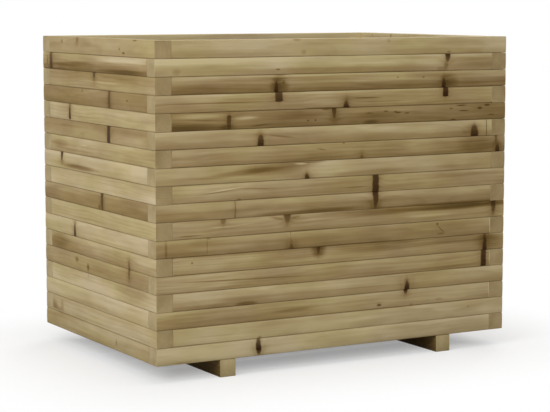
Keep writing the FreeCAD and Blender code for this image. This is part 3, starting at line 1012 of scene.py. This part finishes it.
# Studio floor and light
# A pale floor and a white surround, lit by broad soft lamps from the left, front, back and above.
# The floor fades to the white of the surround away from the bed and keeps the bed's shadow, which a
# white glow seen by the camera lightens near the bed as painted light. For light that bounces, the
# floor is painted dark under and just around the bed: painted shade on the bed's underside and skids.
FLOOR_SIZE = 14
FLOOR_BELOW = 0.2 * MM
FLOOR_PAINTED_SHADE, FLOOR_OPEN = "383735", "e9e8e5"
UNDER_REACH = 0.1
FADE_END = 0.4
SHADOW_LIFT, UNDER_LIFT, UNDER_DEPTH = 0.5, 0.32, 0.12
AMBIENT = 0.33
WHITE = (1, 1, 1, 1)
Lamp = collections.namedtuple("Lamp", "name place size power")
LAMPS = (
    Lamp("left_lamp", (-3.4, -1.6, 2.6), 2.4, 79),
    Lamp("front_lamp", (-1.7, -3.8, 2.3), 2.4, 33),
    Lamp("top_lamp", (0.2, -0.2, 3.8), 2.6, 38),
    Lamp("back_lamp", (2.9, 2.9, 2.5), 2.4, 60),
)


def shown_ray(tree):
    """1 for rays that come from the camera, directly or by way of gloss or glass."""
    light_path = tree.nodes.new("ShaderNodeLightPath").outputs
    mirrored = maths(tree, "MAXIMUM", light_path["Is Glossy Ray"], light_path["Is Transmission Ray"])
    return maths(tree, "MAXIMUM", light_path["Is Camera Ray"], mirrored)


bpy.ops.object.select_all(action="DESELECT")
bpy.ops.mesh.primitive_plane_add(size=FLOOR_SIZE, location=-Z * FLOOR_BELOW)
floor = bpy.context.active_object
floor.name = "studio_floor"
paper = bpy.data.materials.new("studio_paper")
paper.use_nodes = True
tree = paper.node_tree
tree.nodes.remove(tree.nodes["Principled BSDF"])
matt = tree.nodes.new("ShaderNodeBsdfDiffuse")
coordinates = tree.nodes.new("ShaderNodeTexCoord")
split = tree.nodes.new("ShaderNodeSeparateXYZ")
feed(tree, split.inputs[0], coordinates.outputs["Object"])
past_side, past_front = (
    maths(tree, "SUBTRACT", maths(tree, "ABSOLUTE", split.outputs[axis]), cad_high[axis])
    for axis in (0, 1)
)
away_x, away_y = maths(tree, "MAXIMUM", past_side, 0), maths(tree, "MAXIMUM", past_front, 0)
away_square = maths(tree, "MULTIPLY_ADD", away_x, away_x, maths(tree, "MULTIPLY", away_y, away_y))
distance = maths(tree, "SQRT", away_square)
# Painted shade: bounced light finds the floor dark under and just around the bed, darkening its
# underside and skids.
tint = colour_ramp(tree, distance, ((0, FLOOR_PAINTED_SHADE), (UNDER_REACH, FLOOR_OPEN)))
seen = shown_ray(tree)
feed(tree, matt.inputs["Color"], lay(tree, seen, tint, WHITE))
# Painted light: camera rays see the floor partly as a white glow, UNDER_LIFT deep under the bed,
# SHADOW_LIFT at its edge and all glow FADE_END away, which lightens the bed's shadow.
glow = tree.nodes.new("ShaderNodeEmission")
past_edge = maths(tree, "MAXIMUM", past_side, past_front)
under = ease(tree, past_edge, -UNDER_DEPTH, 0, UNDER_LIFT, SHADOW_LIFT)
fade = ease(tree, distance, 0, FADE_END, under, 1)
mixed = tree.nodes.new("ShaderNodeMixShader")
feed(tree, mixed.inputs[0], maths(tree, "MULTIPLY", fade, seen))
feed(tree, mixed.inputs[1], matt.outputs[0])
feed(tree, mixed.inputs[2], glow.outputs[0])
feed(tree, tree.nodes["Material Output"].inputs["Surface"], mixed.outputs[0])
floor.data.materials.append(paper)

surround = bpy.data.worlds.new("studio_surround")
surround.use_nodes = True
bpy.context.scene.world = surround
tree = surround.node_tree
lit = tree.nodes["Background"]
lit.inputs["Strength"].default_value = AMBIENT
lit.inputs["Color"].default_value = WHITE
white = tree.nodes.new("ShaderNodeBackground")
white.inputs["Color"].default_value = WHITE
mixed = tree.nodes.new("ShaderNodeMixShader")
feed(tree, mixed.inputs[0], shown_ray(tree))
feed(tree, mixed.inputs[1], lit.outputs[0])
feed(tree, mixed.inputs[2], white.outputs[0])
feed(tree, tree.nodes["World Output"].inputs["Surface"], mixed.outputs[0])

bed_middle = (cad_low + cad_high) / 2
for lamp in LAMPS:
    light = bpy.data.lights.new(lamp.name, "AREA")
    light.size = lamp.size
    light.energy = lamp.power
    holder = bpy.data.objects.new(lamp.name, light)
    holder.location = lamp.place
    holder.rotation_euler = (bed_middle - Vector(lamp.place)).to_track_quat("-Z", "Y").to_euler()
    bpy.context.scene.collection.objects.link(holder)

# Camera
# It stands in front of the bed's left corner, a little above the rim, and looks slightly down.
CAMERA_PLACE = (-2.043, -3.595, 0.803)
CAMERA_TURN = 29.69
CAMERA_TILT = 6.62
CAMERA_LENS = 115.7
CAMERA_SENSOR = 36
LEVEL = 90
camera_data = bpy.data.cameras.new("camera")
camera_data.lens = CAMERA_LENS
camera_data.sensor_width = CAMERA_SENSOR
camera = bpy.data.objects.new("camera", camera_data)
camera.location = CAMERA_PLACE
camera.rotation_euler = (math.radians(LEVEL - CAMERA_TILT), 0, math.radians(-CAMERA_TURN))
bpy.context.scene.collection.objects.link(camera)
bpy.context.scene.camera = camera
bpy.context.scene.view_settings.view_transform = "Standard"
